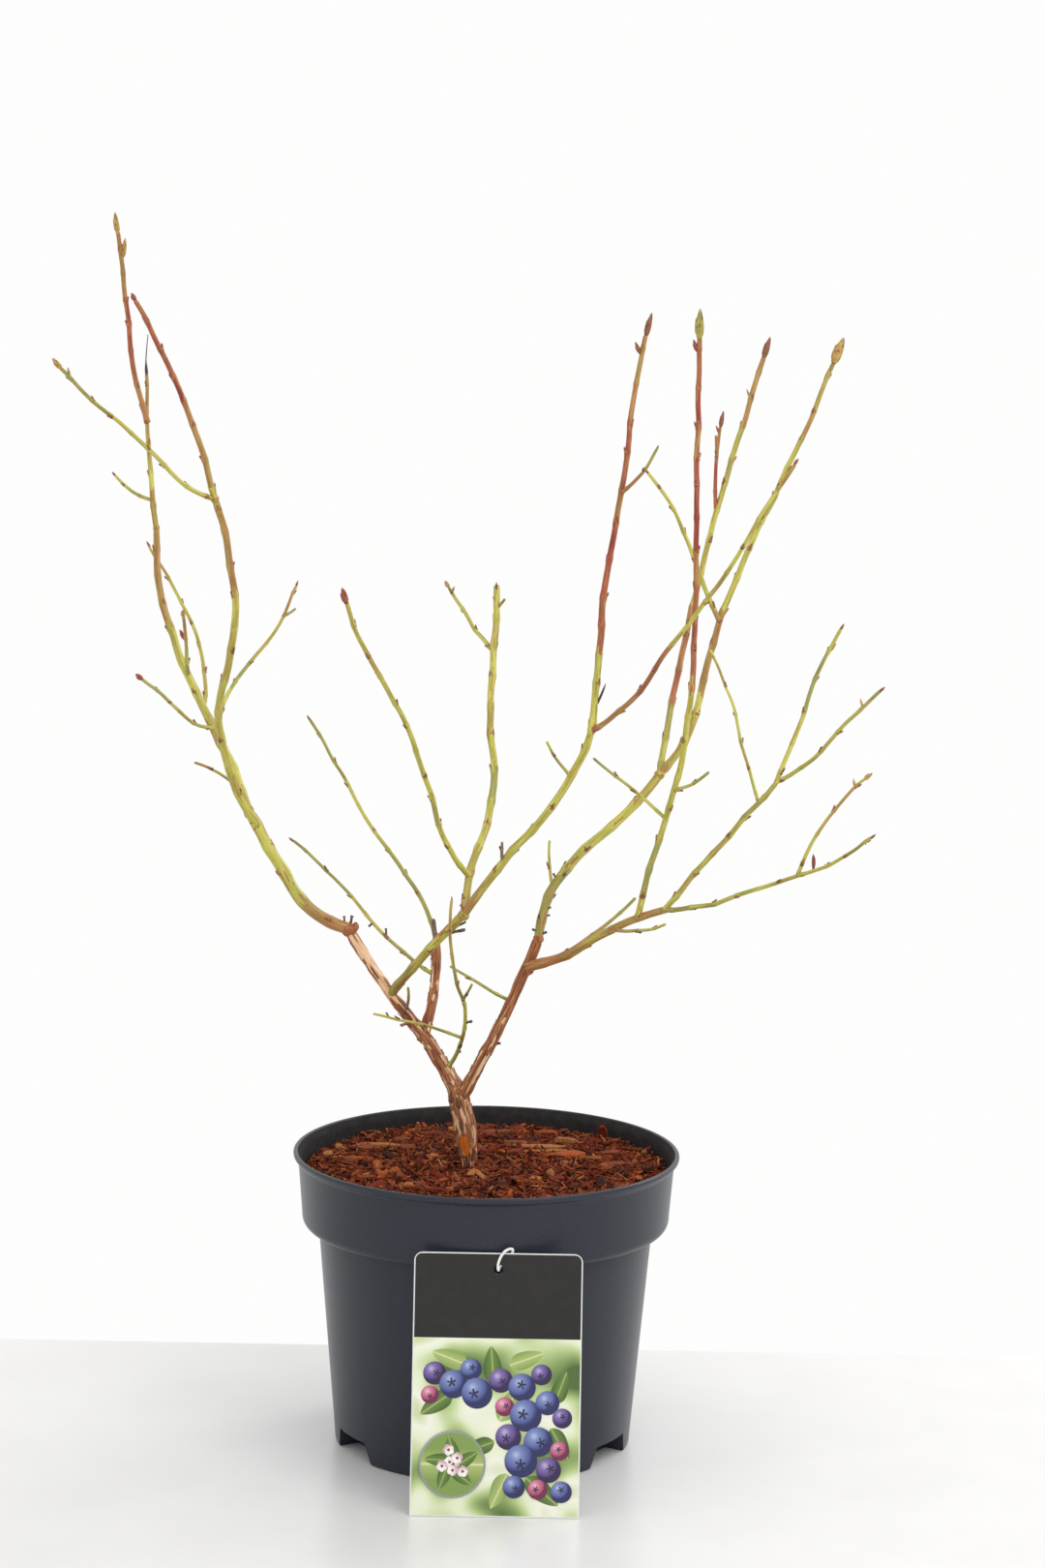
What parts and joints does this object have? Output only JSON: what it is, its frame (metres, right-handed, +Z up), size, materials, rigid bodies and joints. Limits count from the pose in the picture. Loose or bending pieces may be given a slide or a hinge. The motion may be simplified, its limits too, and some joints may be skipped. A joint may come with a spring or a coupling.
{
  "type": "potted blueberry bush",
  "caption": "Bare winter blueberry bush with upright, twiggy canes in a round plastic nursery pot of bark compost, with a plant label leaning on the pot.",
  "frame": {"origin": "centre of the pot's flat underside", "axes": "+Z up along the pot's axis, -Y towards the plant label at the front, +X to the right seen from the front"},
  "size_m": [0.3781, 0.2598, 0.5991],
  "materials": {
    "pot_plastic": "satin",
    "bark_compost": "matte",
    "label_card": "satin",
    "tie_plastic": "satin",
    "bark": "matte",
    "green_cane": "satin",
    "twigs": "satin"
  },
  "bodies": {
    "root": {"pot": "pot_plastic", "compost": "bark_compost", "label": "label_card", "label_tie": "tie_plastic", "trunk": "bark", "left_limb": "bark", "middle_limb": "bark", "right_limb": "bark", "left_cane": "green_cane", "left_outer_cane": "green_cane", "left_inner_cane": "green_cane", "middle_cane": "green_cane", "middle_right_cane": "green_cane", "right_cane": "green_cane", "right_bough": "green_cane", "left_outer_twigs": "twigs", "left_inner_twigs": "twigs", "left_back_twigs": "twigs", "left_front_twigs": "twigs", "left_crossing_twigs": "twigs", "left_low_twigs": "twigs", "left_small_twigs": "twigs", "middle_tall_twigs": "twigs", "middle_front_twigs": "twigs", "middle_back_twigs": "twigs", "middle_low_twigs": "twigs", "middle_right_twigs": "twigs", "middle_small_twigs": "twigs", "middle_dead_twigs": "twigs", "middle_inner_twigs": "twigs", "middle_spur_twigs": "twigs", "middle_cross_twigs": "twigs", "right_back_twigs": "twigs", "right_long_twigs": "twigs", "right_thin_twigs": "twigs", "right_red_twigs": "twigs", "right_far_twigs": "twigs", "right_low_twigs": "twigs", "right_bough_back_twigs": "twigs", "right_bough_front_twigs": "twigs"}
  },
  "joints": []
}
